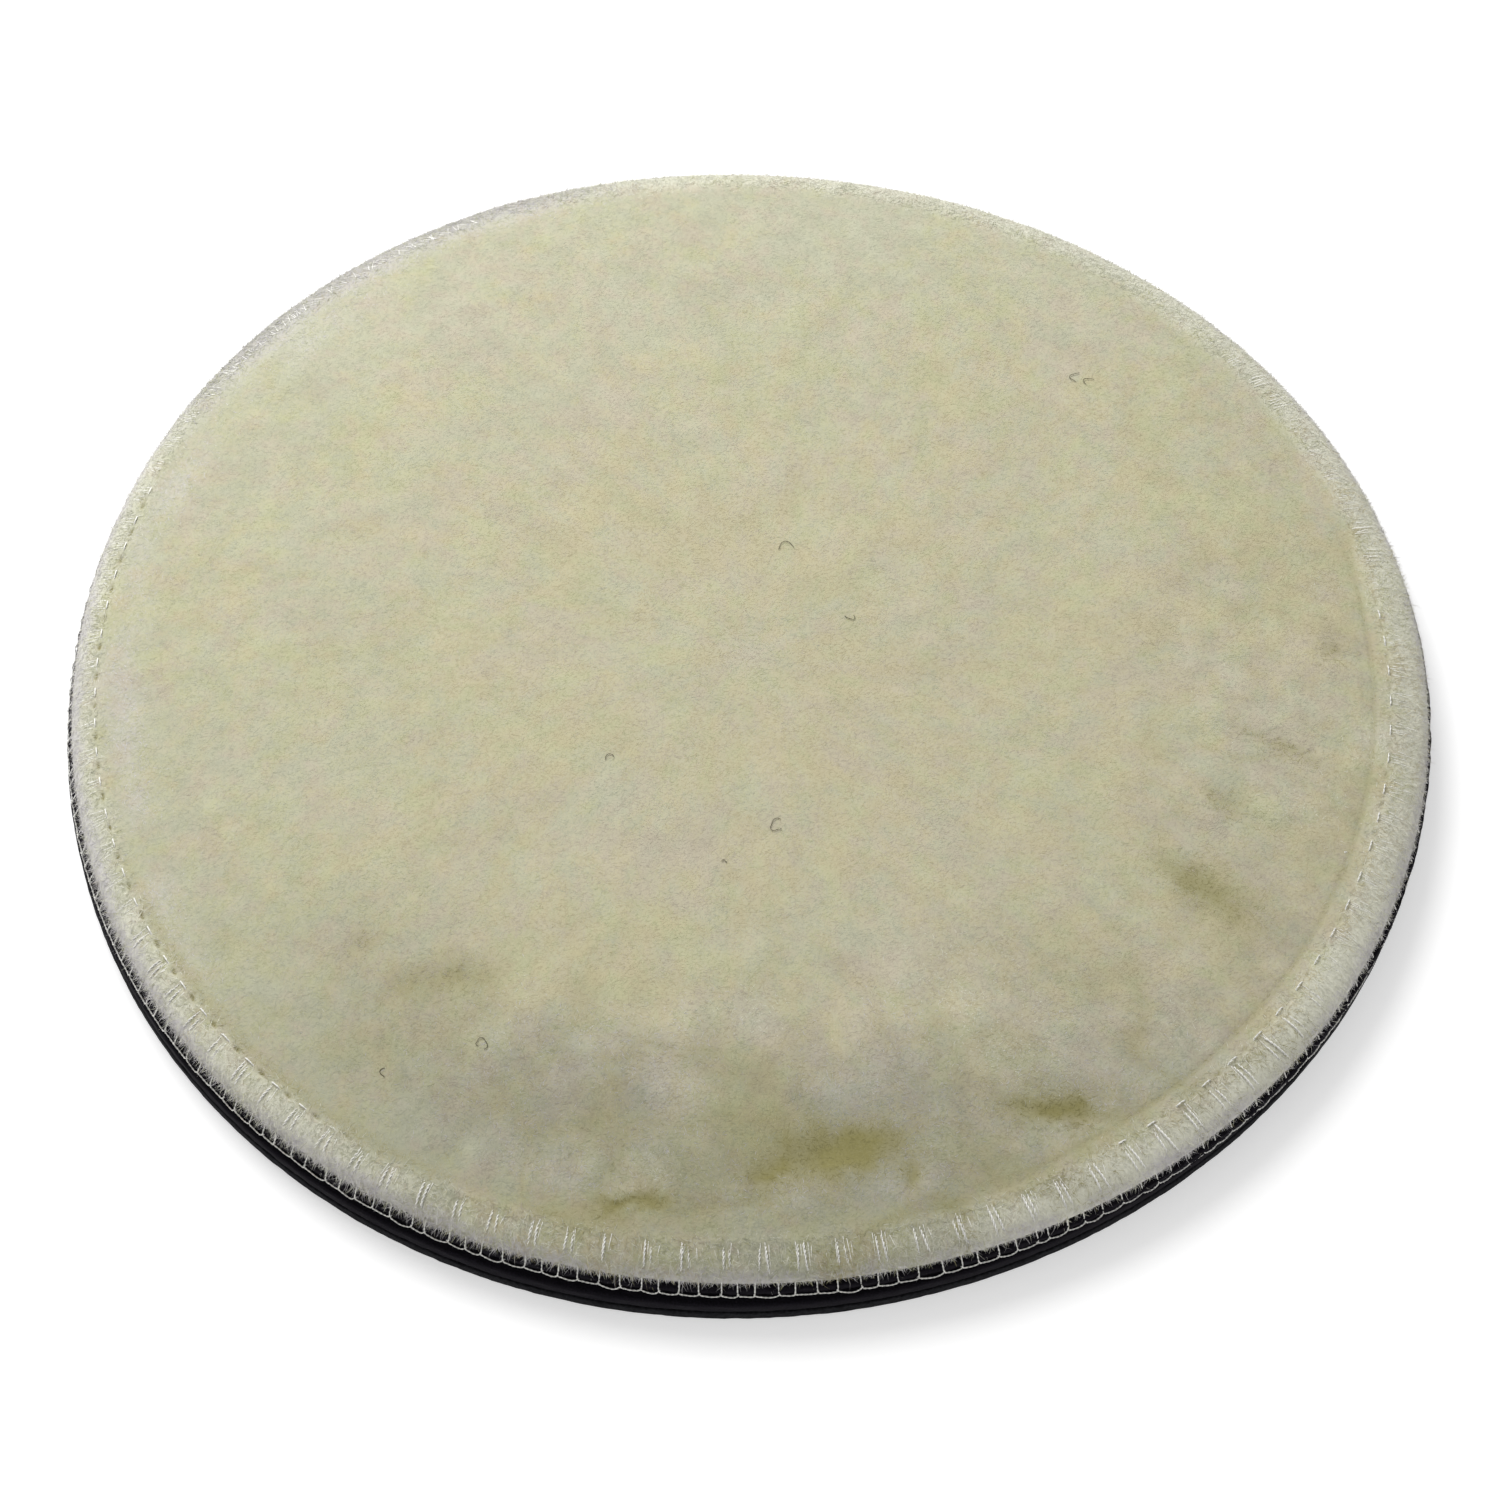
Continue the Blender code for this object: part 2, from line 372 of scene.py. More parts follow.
def wear_and_painted_shade_at(x, y):
    """How dark the wool is: 1 along the front, for worn, flattened pile and painted shade of its slope, 0 at
    the back; with painted light on the bead at the front right, painted shade on the rim where the seam
    starts, painted shade between tufts, and mottling.
    """
    angle, radius = reach_at(x, y)
    ragged = 4 * MM * lumps(x, y, 9 * MM, 61) + 3 * MM * lumps(x, y, 4 * MM, 62)
    # The front ring is darker: worn, flattened pile, and painted shade of its slope, which faces away from
    # the light.
    ring = ease(39 * MM, 60 * MM, radius + ragged) * (1.0 - 0.40 * ease(62 * MM, 68 * MM, radius))
    front = part_share(angle, WORN_FRONT_AND_PAINTED_SHADE)
    # Painted shade in the valleys between tufts and lighter tufts, with random mottling on top.
    patches = 0.22 * unrest(x, y) * (0.70 - tufts(x, y) + 0.8 * lumps(x, y, 3 * MM, 63))
    mottle = 0.15 + 0.09 * unrest(x, y)
    patches += mottle * (lumps(x, y, 2.4 * MM, 67) + lumps(x, y, 1.2 * MM, 68))
    worn_and_painted_shade = front * ring * (1.0 - ease(70.0 * MM, 73.0 * MM, radius))
    # The bead: a little darker at the front, lighter at the front left, and painted light at the front right,
    # where it faces away from the light.
    bead_tone_and_painted_light = 0.10 * part_share(angle, YELLOWED) - 0.4 * part_share(angle, PAINTED_LIGHT_FRONT_RIGHT)
    bead_tone_and_painted_light -= 0.25 * part_share(angle, FUZZY)
    worn_and_painted_shade += bead_tone_and_painted_light * ease(68.5 * MM, 70.5 * MM, radius)
    # Painted shade darkens the very rim where the seam starts.
    worn_and_painted_shade += 0.8 * part_share(angle, GREY_RIM_AND_PAINTED_SHADE) * ease(70.0 * MM, 73.5 * MM, radius)
    return worn_and_painted_shade + patches * (1.0 - ease(66 * MM, 70 * MM, radius))


def paleness_and_painted_light_at(x, y):
    """How pale the wool is: most on the edge, where paler wool also carries painted light, and a little on
    fluffed-up tufts, with a painted highlight on their tops.
    """
    angle, radius = reach_at(x, y)
    outward = radius - seam_radius(angle) + 0.6 * MM * lumps(x, y, 3 * MM, 64)
    # The paler edge is partly painted light that lifts the roll where it faces away from the light, most of
    # all at the front right.
    edge = 0.8 + 0.2 * part_share(angle, PAINTED_LIGHT_FRONT_RIGHT)
    edge -= 0.5 * part_share(angle, YELLOWED) + 0.6 * part_share(angle, GREY_RIM_AND_PAINTED_SHADE)
    patchy = ease(-0.2, 0.5, lumps(x, y, 12 * MM, 69))
    # Tufts: paler wool, with a painted highlight on their tops.
    fluff = 0.34 * unrest(x, y) * ease(0.45, 0.95, tufts(x, y)) * patchy
    return np.maximum(edge * ease(-1.5 * MM, 2.5 * MM, outward), fluff)


def grey_and_painted_light_at(x, y):
    """How grey the wool is: painted shade where it turns under the edge and at the seam's start, painted
    light in a band inside the needle line on the left, and grey patches at the front.
    """
    angle, radius = reach_at(x, y)
    ragged = radius + 0.5 * MM * lumps(x, y, 3 * MM, 66)
    # Painted shade: grey where the wool turns under the edge.
    under = 0.7 * ease(72.8 * MM, 74.2 * MM, ragged + 0.5 * MM * part_share(angle, LEFT))
    inward = seam_radius(angle) - radius
    patchy = ease(-0.6, 0.4, lumps(x, y, 8 * MM, 70))
    # Painted light: a lighter grey band on the rising pile just inside the needle line on the left.
    inside = 0.35 * part_share(angle, LEFT) * near(inward - 3.0 * MM, 2.2 * MM) * patchy
    # Painted shade: grey on the rim where the seam starts.
    start = 0.6 * part_share(angle, GREY_RIM_AND_PAINTED_SHADE) * ease(68 * MM, 72 * MM, ragged)
    front = 0.18 * unrest(x, y) * ease(-36 * MM, -52 * MM, y) * patchy * ease(69 * MM, 66 * MM, radius)
    return np.maximum(np.maximum(under, start), inside + front)


# --- Mesh helpers ---


def show(obj, slot, *replaced):
    """Link a piece, let it ride on the pad, and hide the CAD nodes it stands for. Its slot is not used."""
    bpy.context.scene.collection.objects.link(obj)
    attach(obj, BODY)
    if replaced:
        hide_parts(*replaced)
    return obj


def mesh_from_arrays(name, points, faces, materials, tones=None):
    """A smooth mesh from point rows and lists of equal-length faces, one tone per face."""
    mesh = bpy.data.meshes.new(name)
    mesh.vertices.add(len(points))
    mesh.vertices.foreach_set("co", np.asarray(points, np.float32).ravel())
    loops = np.concatenate([group.ravel() for group in faces])
    sizes = np.concatenate([np.full(len(group), group.shape[1]) for group in faces])
    mesh.loops.add(len(loops))
    mesh.loops.foreach_set("vertex_index", loops.astype(np.int32))
    mesh.polygons.add(len(sizes))
    starts = np.concatenate([[0], np.cumsum(sizes)[:-1]])
    mesh.polygons.foreach_set("loop_start", starts.astype(np.int32))
    mesh.polygons.foreach_set("use_smooth", np.ones(len(sizes), bool))
    for material in materials:
        mesh.materials.append(material)
    if tones is not None:
        mesh.polygons.foreach_set("material_index", np.asarray(tones, np.int32))
    mesh.update(calc_edges=True)
    return bpy.data.objects.new(name, mesh)


def band_faces(start, count, after, following):
    """Faces between two rings, facing out where the first ring is the one nearer the body's top."""
    fewer, more = sorted([count, following])
    here = np.arange(more if fewer == 1 else fewer)
    onward = (here + 1) % len(here)
    if count == 1:
        return [np.stack([0 * here + start, after + here, after + onward], 1)]
    if following == 1:
        return [np.stack([start + here, 0 * here + after, start + onward], 1)]
    if count == following:
        return [np.stack([start + here, after + here, after + onward, start + onward], 1)]
    double, odd, next_double = 2 * here, 2 * here + 1, 2 * onward
    if count > following:
        return [
            np.stack([start + double, after + here, start + odd], 1),
            np.stack([start + odd, after + here, after + onward], 1),
            np.stack([start + odd, after + onward, start + next_double], 1),
        ]
    return [
        np.stack([start + here, after + double, after + odd], 1),
        np.stack([start + here, after + odd, start + onward], 1),
        np.stack([start + onward, after + odd, after + next_double], 1),
    ]


def closed_rings(rings):
    """(points, faces) of a closed body from rings of points, from its top centre to its bottom one.

    Each ring has as many points as the one before, or twice or half as many.
    """
    starts = np.cumsum([0] + [len(ring) for ring in rings])
    faces = []
    for start, ring, after, following in zip(starts, rings, starts[1:], rings[1:]):
        faces += band_faces(start, len(ring), after, len(following))
    return np.concatenate(rings), faces


def angles(count):
    return np.arange(count) * math.tau / count


# --- Materials ---


def feed(node, inputs):
    """Give a node's inputs their values, which are constants or other nodes' outputs."""
    for name, value in inputs.items():
        if isinstance(value, bpy.types.NodeSocket):
            node.id_data.links.new(value, node.inputs[name])
        else:
            node.inputs[name].default_value = value


def new_material(name, colour, roughness, sheen=0.0, specular=0.3):
    """(material, shader) with one Principled shader and constant sockets."""
    material = bpy.data.materials.new(name)
    material.use_nodes = True
    shader = material.node_tree.nodes["Principled BSDF"]
    feed(shader, {"Base Color": (*colour, 1.0), "Roughness": roughness, "Specular IOR Level": specular})
    feed(shader, {"Sheen Weight": sheen, "Sheen Roughness": 0.5})
    return material, shader


def add_node(material, kind, inputs, **settings):
    node = material.node_tree.nodes.new(kind)
    for name, value in settings.items():
        setattr(node, name, value)
    feed(node, inputs)
    return node


def add_noise(material, scale):
    """Noise in object coordinates; scale is lumps per metre."""
    coordinates = add_node(material, "ShaderNodeTexCoord", {})
    inputs = {"Vector": coordinates.outputs["Object"], "Scale": scale, "Detail": 4.0}
    return add_node(material, "ShaderNodeTexNoise", inputs).outputs["Fac"]


def mix_colours(material, share, first, second):
    """A colour mix, whose two colours go into the mix node's sockets 6 and 7."""
    mix = add_node(material, "ShaderNodeMix", {"Factor": share, 6: first, 7: second}, data_type="RGBA")
    return mix.outputs[2]


def spread(material, value, low, high, to_low=0.0, to_high=1.0):
    """Stretch a node output from one range to another."""
    inputs = {"Value": value, "From Min": low, "From Max": high, "To Min": to_low, "To Max": to_high}
    return add_node(material, "ShaderNodeMapRange", inputs).outputs["Result"]


def add_bump(material, height, distance):
    inputs = {"Height": height, "Distance": distance, "Strength": 1.0}
    return add_node(material, "ShaderNodeBump", inputs).outputs["Normal"]


# The wool's colours: cream wool, a paler rim that is partly painted light, a grey for painted shade
# where the wool turns under, what clouds and tints add, and three depths of grease, which also paint
# shade in needle holes, creases and valleys. Wool comes in SHADES: undarkened wool sits at one level,
# and the worn front, with its painted shade, a set number of levels below it.
WOOL_CREAM = np.array([0.492, 0.467, 0.320])
# The rim's colour: paler wool, made brighter as painted light on the roll that faces away from the light.
WOOL_RIM_PALE_AND_PAINTED_LIGHT = np.array([0.700, 0.695, 0.590])
# A grey for painted shade where the wool turns under the edge, also used for a painted light band and grey
# patches.
WOOL_GREY_AND_PAINTED_SHADE = np.array([0.600, 0.580, 0.585])
CLOUD_COLOUR = np.array([0.004, 0.003, -0.030])
TINT_COLOUR = np.array([0.016, -0.011, 0.0])
# Grease colours, also used as painted shade in holes, creases and valleys.
GREASE_AND_PAINTED_SHADE_COLOURS = [(0.42, 0.39, 0.22), (0.34, 0.31, 0.15), (0.26, 0.235, 0.09)]
SHADES = [0.66, 0.77, 0.88, 0.99, 1.10]
UNDARKENED_SHADE = 3.1
WORN_AND_PAINTED_SHADE_LEVELS = 2.45


def wool_material():
    """Felted wool: the mesh's own colour field under a fine fibrous grain."""
    material, shader = new_material("sheared_wool", WOOL_CREAM, 0.9, sheen=0.15)
    field = add_node(material, "ShaderNodeAttribute", {}, attribute_name="wool_colour")
    grain = add_noise(material, 3500)
    # Painted shade: where the grain is low, which is where the bump sinks, the colour mixes a little towards
    # the first grease colour.
    painted_dip_shade = spread(material, grain, 0.35, 0.6, 0.10, 0.0)
    colour = mix_colours(material, painted_dip_shade, field.outputs["Color"], (*GREASE_AND_PAINTED_SHADE_COLOURS[0], 1.0))
    rough = spread(material, grain, 0.3, 0.7, 0.85, 1.0)
    bump = add_bump(material, grain, 0.05 * MM)
    feed(shader, {"Base Color": colour, "Roughness": rough, "Normal": bump})
    return material


def cream_tones():
    """Unstained wool's colours: grey and yellow clouds, each greenish and pinkish, then the pale rim's, which
    is partly painted light, and the grey used for painted shade.
    """
    shifts = [cloud * CLOUD_COLOUR + tint * TINT_COLOUR for cloud in (-1, 1) for tint in (-1, 1)]
    return [WOOL_CREAM + shift for shift in shifts] + [WOOL_RIM_PALE_AND_PAINTED_LIGHT, WOOL_GREY_AND_PAINTED_SHADE]


def fibre_palette():
    """One material for each cream tone in each shade, then the grease colours, which also paint shade in
    holes, creases and valleys.
    """
    colours = [tone * shade for tone in cream_tones() for shade in SHADES] + GREASE_AND_PAINTED_SHADE_COLOURS
    return [
        new_material(f"wool_fibre_{number + 1}", tuple(colour), 0.8, sheen=0.15)[0]
        for number, colour in enumerate(colours)
    ]


def wool_colours(x, y):
    """The wool's mean colour at each place, as rows of red, green, blue and alpha."""
    pale_and_light_share, grey_and_shade_share, grease_and_shade_share = paleness_and_painted_light_at(x, y)[:, None], grey_and_painted_light_at(x, y)[:, None], stain_and_painted_shade_at(x, y)[:, None]
    cloud, tint = np.clip(cloud_at(x, y), -1, 1)[:, None], np.clip(tint_at(x, y), -1, 1)[:, None]
    cream = WOOL_CREAM + cloud * CLOUD_COLOUR + tint * TINT_COLOUR
    # The shade level, the pale rim and the grey carry painted light and shade as well as wear and colour; the
    # grease colour also paints shade in holes, creases and valleys.
    level = np.interp(UNDARKENED_SHADE - WORN_AND_PAINTED_SHADE_LEVELS * wear_and_painted_shade_at(x, y), range(len(SHADES)), SHADES)[:, None]
    colour = cream * (1.0 - pale_and_light_share) + WOOL_RIM_PALE_AND_PAINTED_LIGHT * pale_and_light_share
    colour = (colour * (1.0 - grey_and_shade_share) + WOOL_GREY_AND_PAINTED_SHADE * grey_and_shade_share) * level
    colour += (np.array(GREASE_AND_PAINTED_SHADE_COLOURS[-1]) - colour) * grease_and_shade_share
    return np.hstack([colour, np.ones_like(pale_and_light_share)])


def speckled_material(name, dark, light, scale, roughness, depth, specular=0.3):
    """A surface with a fine two-tone grain that also drives its roughness and bump."""
    material, shader = new_material(name, dark, roughness, specular=specular)
    grain = add_noise(material, scale)
    colour = mix_colours(material, spread(material, grain, 0.35, 0.65), (*dark, 1.0), (*light, 1.0))
    rough = spread(material, grain, 0.3, 0.7, roughness - 0.08, roughness + 0.08)
    feed(shader, {"Base Color": colour, "Roughness": rough, "Normal": add_bump(material, grain, depth)})
    return material


# --- The wool pile ---

# Rings of the face (first, last and step of their distance inward, mm) and of the underside, and
# each one's share of the points that a ring at the seam has.
SEAM_COUNT = 12 * STITCHES
FACE_BANDS = [(66.0, 47.0, 2.6, 1 / 8), (46.5, 22.5, 1.6, 1 / 4), (21.9, 5.0, 0.9, 1 / 2)]
UNDER_RINGS = [(1.3, 1), (3.3, 1 / 2), (8.3, 1 / 4), (29.3, 1 / 8)]


def wool_rings():
    """The wool's rings from the centre of its face over the edge to the centre below."""
    centre_height = pile_surface(np.array([SEAM_RADIUS]), np.array([0.0]))[1][0]
    rings = [np.array([[0.0, 0.0, centre_height]])]
    face = []
    for first, last, step, share in FACE_BANDS:
        face += [(inward, share) for inward in np.arange(first, last, -step)]
    face += [(inward, 1) for inward in 4.7 * np.linspace(1.0, 0.0, 16) ** 1.4]
    for inward, share in face:
        turn = angles(int(share * SEAM_COUNT))
        radius, height = pile_surface(np.full(len(turn), inward * MM), turn)
        rings.append(place(radius, turn, height))
    for down in np.linspace(0.04, 1.0, 20):
        radius, height = roll_surface(down, angles(SEAM_COUNT))
        rings.append(place(radius, angles(SEAM_COUNT), height))
    below = WOOL_BOTTOM - 0.3 * MM
    for inward, share in UNDER_RINGS:
        rings.append(place(WOOL_RADIUS - inward * MM, angles(int(share * SEAM_COUNT)), below))
    rings.append(np.array([[0.0, 0.0, below]]))
    return rings


def make_wool():
    """The pile as one soft body, with its colour as a field on the mesh."""
    points, faces = closed_rings(wool_rings())
    wool = mesh_from_arrays("wool_pile_body", points, faces, [wool_material()])
    colours = wool.data.attributes.new("wool_colour", "FLOAT_COLOR", "POINT")
    colours.data.foreach_set("color", wool_colours(points[:, 0], points[:, 1]).astype(np.float32).ravel())
    show(wool, "wool", "wool_pile")
    return wool


# --- Fibres ---


def read_rows(items, field, kind):
    """A field with three numbers for each of a mesh's items, as rows."""
    values = np.empty(len(items) * 3, kind)
    items.foreach_get(field, values)
    return values.reshape(-1, 3)


def triangles_of(mesh):
    """(corner points, corner normals, areas) of a mesh's triangles."""
    mesh.calc_loop_triangles()
    corners = read_rows(mesh.loop_triangles, "vertices", np.int32)
    points = read_rows(mesh.vertices, "co", np.float32)[corners]
    normals = read_rows(mesh.vertices, "normal", np.float32)[corners]
    areas = 0.5 * np.linalg.norm(np.cross(points[:, 1] - points[:, 0], points[:, 2] - points[:, 0]), axis=1)
    return points, normals, areas


def scatter(obj, count, wanted, draw):
    """Random places on a mesh: (points, normals). wanted gives each triangle's share by its middle."""
    points, normals, areas = triangles_of(obj.data)
    weights = areas * wanted(points.mean(axis=1))
    chosen = draw.choice(len(weights), count, p=weights / weights.sum())
    share = np.sort(draw.random((count, 2)), axis=1)
    mix = np.stack([share[:, 0], share[:, 1] - share[:, 0], 1.0 - share[:, 1]], axis=1)[:, :, None]
    return (points[chosen] * mix).sum(axis=1), unit((normals[chosen] * mix).sum(axis=1))


def unit(vectors):
    return vectors / np.maximum(np.linalg.norm(vectors, axis=1, keepdims=True), 1e-12)


def fibre_body(name, roots, middles, tips, sides, tones, materials):
    """Flat tapered fibres, each from a root through a middle to a tip, as one mesh.

    sides points from each fibre's middle line to its edge.
    """
    corners = [roots - sides, roots + sides, middles + 0.9 * sides, middles - 0.9 * sides, tips]
    points = np.stack(corners, axis=1)
    first = 5 * np.arange(len(roots))[:, None]
    faces = [first + np.array([0, 1, 2, 3]), first + np.array([3, 2, 4])]
    return mesh_from_arrays(name, points.reshape(-1, 3), faces, materials, np.concatenate([tones, tones]))


FACE_PIECES = 8
FIBRES_A_PIECE = 60000
EDGE_FIBRES = 16000


def wool_tone(points, draw):
    """The palette tone of each fibre, from the place's fields and a little chance."""
    count = len(points)
    x, y = points[:, 0], points[:, 1]
    yellow = draw.random(count) < 0.5 + 1.8 * cloud_at(x, y)
    pink = draw.random(count) < 0.5 + 2.4 * tint_at(x, y)
    # The fibres carry the same painted light and shade as the wool below them.
    cream = np.where(draw.random(count) < paleness_and_painted_light_at(x, y), 4, 2 * yellow + pink)
    cream = np.where(draw.random(count) < grey_and_painted_light_at(x, y), 5, cream)
    level = UNDARKENED_SHADE - WORN_AND_PAINTED_SHADE_LEVELS * wear_and_painted_shade_at(x, y) + draw.normal(0.0, 0.45, count) * (1.0 + paleness_and_painted_light_at(x, y))
    shade = np.clip(np.round(level), 0, len(SHADES) - 1).astype(int)
    grease_and_shade_share = stain_and_painted_shade_at(x, y)
    depth = np.clip(np.floor(len(GREASE_AND_PAINTED_SHADE_COLOURS) * (grease_and_shade_share + draw.uniform(-0.3, 0.3, count))), 0, len(GREASE_AND_PAINTED_SHADE_COLOURS) - 1)
    grease_and_painted_shade = len(SHADES) * len(cream_tones()) + depth.astype(int)
    return np.where(draw.random(count) < 1.5 * grease_and_shade_share, grease_and_painted_shade, len(SHADES) * cream + shade)


def grow_fibres(name, wool, where, draw, palette, count, length, arch, rise=0.0, outward=0.0, droop=0.0):
    """A piece of curled fibres that lie on the wool every way.

    length and arch (how far the middle stands off the wool) are ranges in mm; rise is the steepest
    slope off the wool; outward and droop pull the fibres away from the centre and down.
    """
    roots, normals = scatter(wool, count, where, draw)
    heading = math.pi * lumps(roots[:, 0], roots[:, 1], 4.0 * MM, 73)
    lay = draw.normal(size=roots.shape) + 0.3 * toward(heading) + outward * unit(roots * [1.0, 1.0, 0.0])
    lay = unit(lay - normals * (lay * normals).sum(axis=1, keepdims=True))
    lift = draw.uniform(0.0, 1.0, count)[:, None] * rise
    stand = draw.uniform(*arch, count)[:, None] * MM * normals
    directions = unit(lay + lift * normals - [0.0, 0.0, droop])
    lengths = draw.uniform(*length, count)[:, None] * MM
    sideways = unit(np.cross(directions, normals))
    bend = draw.uniform(-0.35, 0.35, count)[:, None] * lengths
    roots = roots - 0.02 * MM * normals
    middles = roots + 0.5 * lengths * directions + 0.25 * bend * sideways + stand
    tips = roots + 0.95 * lengths * directions + bend * sideways + 0.6 * stand
    half_widths = draw.uniform(0.015, 0.026, count)[:, None] * MM
    fibres = fibre_body(name, roots, middles, tips, half_widths * sideways, wool_tone(roots, draw), palette)
    return show(fibres, "wool")


def roll_share(x, y):
    """0 on the face and 1 on the roll, with a soft change at the needle line."""
    angle, radius = reach_at(x, y)
    return ease(-1.0 * MM, 1.5 * MM, radius - seam_radius(angle))


def on_face(middles):
    """The face down to the needle line, with fewer fibres over dark partings."""
    x, y = middles[:, 0], middles[:, 1]
    upper = middles[:, 2] > SEAM_HEIGHT - 0.8 * MM
    return upper * (1.0 - roll_share(x, y)) * (1.0 - 0.6 * stain_and_painted_shade_at(x, y) ** 2)


def on_roll(middles):
    """The wool outside the needle line, down to the widest point."""
    return roll_share(middles[:, 0], middles[:, 1]) * (middles[:, 2] > ROLL_FOOT - 0.4 * MM)


def on_lower_roll(middles):
    """The steep lowest part of the roll, just above the black felt, and most of all at its front left."""
    x, y, height = middles.T
    low = ease(ROLL_FOOT + 1.3 * MM, ROLL_FOOT, height) * (height > ROLL_FOOT - 0.6 * MM)
    return roll_share(x, y) * low * (0.09 + part_share(np.arctan2(y, x), FUZZY))


def add_wool_fibres(wool, palette):
    """The wool's fibres in pieces: the face's, the roll's, and fuzz that stands off the edge."""
    draw = np.random.default_rng(71)
    for number in range(FACE_PIECES):
        name = f"wool_fibres_face_{number + 1}"
        grow_fibres(name, wool, on_face, draw, palette, FIBRES_A_PIECE, (0.3, 1.1), (0.022, 0.045))
    name = "wool_fibres_roll"
    grow_fibres(name, wool, on_roll, draw, palette, FIBRES_A_PIECE, (0.4, 1.4), (0.022, 0.07), 0.2, 0.6)
    name = "wool_fibres_edge"
    grow_fibres(name, wool, on_lower_roll, draw, palette, EDGE_FIBRES, (0.4, 1.7), (0.0, 0.1), 1.1, 0.5, 0.5)


# --- Threads ---


def smooth_loop(points, step):
    """Points about a step apart on the smooth closed curve through the given ones."""
    points = np.asarray(points)
    padded = np.concatenate([points[-1:], points, points[:2]])
    runs = []
    for before, start, end, after in zip(padded, padded[1:], padded[2:], padded[3:]):
        parts = max(1, int(round(np.linalg.norm(end - start) / step)))
        t = (np.arange(parts) / parts)[:, None]
        square = 2 * before - 5 * start + 4 * end - after
        cube = 3 * start - before - 3 * end + after
        runs.append(0.5 * (2 * start + (end - before) * t + square * t**2 + cube * t**3))
    return np.concatenate(runs)


def directions_along(centre, closed):
    """(side, other) directions across a route at each of its points."""
    ahead = np.roll(centre, -1, axis=0) - np.roll(centre, 1, axis=0)
    if not closed:
        ahead[0], ahead[-1] = centre[1] - centre[0], centre[-1] - centre[-2]
    ahead = unit(ahead)
    side = unit(np.cross(ahead, unit(centre * [1.0, 1.0, 0.0]) + [0.0, 0.0, 0.35]))
    return side, np.cross(ahead, side)


def tube(centre, side, other, radius, closed, sides=5):
    """(points, faces) of a tube round a route, from the directions across it."""
    count = len(centre)
    points = [centre + radius * (side * math.cos(turn) + other * math.sin(turn)) for turn in angles(sides)]
    here = np.arange(count if closed else count - 1)
    onward = (here + 1) % count
    faces = []
    for corner in range(sides):
        first, second = corner * count, ((corner + 1) % sides) * count
        faces.append(np.stack([here + first, here + second, onward + second, onward + first], 1))
    return np.concatenate(points), np.concatenate(faces)


def joined(bodies):
    """(points, [faces]) of several bodies of points and faces, as one."""
    starts = np.cumsum([0] + [len(points) for points, faces in bodies])
    faces = [faces + start for (points, faces), start in zip(bodies, starts)]
    return np.concatenate([body[0] for body in bodies]), [np.concatenate(faces)]


def plied_thread(route, step=0.2 * MM, turn_length=1.0 * MM):
    """(points, [faces]) of two plies that twist round a closed route of x, y, z, thickness rows."""
    smooth = smooth_loop(route, step)
    centre, radius = smooth[:, :3], smooth[:, 3:]
    side, other = directions_along(centre, True)
    distance = np.concatenate([[0.0], np.cumsum(np.linalg.norm(np.diff(centre, axis=0), axis=1))])
    turns = distance / turn_length
    turns *= round(turns[-1]) / (turns[-1] + step / turn_length)
    plies = []
    for ply in range(2):
        twist = math.tau * (turns + 0.5 * ply)[:, None]
        across = side * np.cos(twist) + other * np.sin(twist)
        beside = other * np.cos(twist) - side * np.sin(twist)
        plies.append(tube(centre + 0.48 * radius * across, across, beside, 0.56 * radius, True))
    return joined(plies)


# How far along the roll a leg's points lie, and how far they stand out of the wool in mm: sunk at
# the needle line, clear of the wool for a short way, sunk again, and clear at the black edge.
LEG_SHARES = [0.0, 0.10, 0.26, 0.46, 0.70, 0.90]
LEG_LIFTS = [-0.30, -0.03, 0.12, 0.00, -0.28, 0.10]


def above_roll(share, angle, lift):
    """Points at a share of the way down the roll that stand off it by lift."""
    radius, height = roll_surface(share, angle)
    return place(radius + 0.5 * lift, angle, height + 0.85 * lift)


def leg_points(number, leg, slack, higher):
    """A looper leg from the needle line over the roll to the edge, as points.

    slack is how far its end strays in stitches, higher how far it lies above the others in mm.
    """
    points = []
    for share, lift in zip(LEG_SHARES, LEG_LIFTS):
        angle = np.array(seam_angle(number + leg(share) + slack * share))
        if share < 0.8:
            dull = 1.0 - part_share(angle, BRIGHT_LEGS)
            lift -= 0.30 * dull + 0.35 * part_share(angle, HIDDEN_LEGS)
            lift += higher + 0.05 * part_share(angle, LONG_LEGS)
        taper = ease(0.85, 0.55, share) * (1.6 * part_share(angle, BRIGHT_LEGS) - 0.6)
        thickness = CHAIN_THICKNESS + (LEG_THICKNESS - CHAIN_THICKNESS) * taper
        points.append(np.append(above_roll(share, angle, lift * MM), thickness))
    return points


def chain_point(number, offset, sag):
    """A point of the chain along the felt's edge, into which it sinks a little on the right."""
    angle = np.array(seam_angle(number + offset))
    radius = CHAIN_RADIUS - 0.25 * MM * part_share(angle, RIGHT)
    return np.append(place(radius, angle, CHAIN_HEIGHT - sag * MM), CHAIN_THICKNESS)


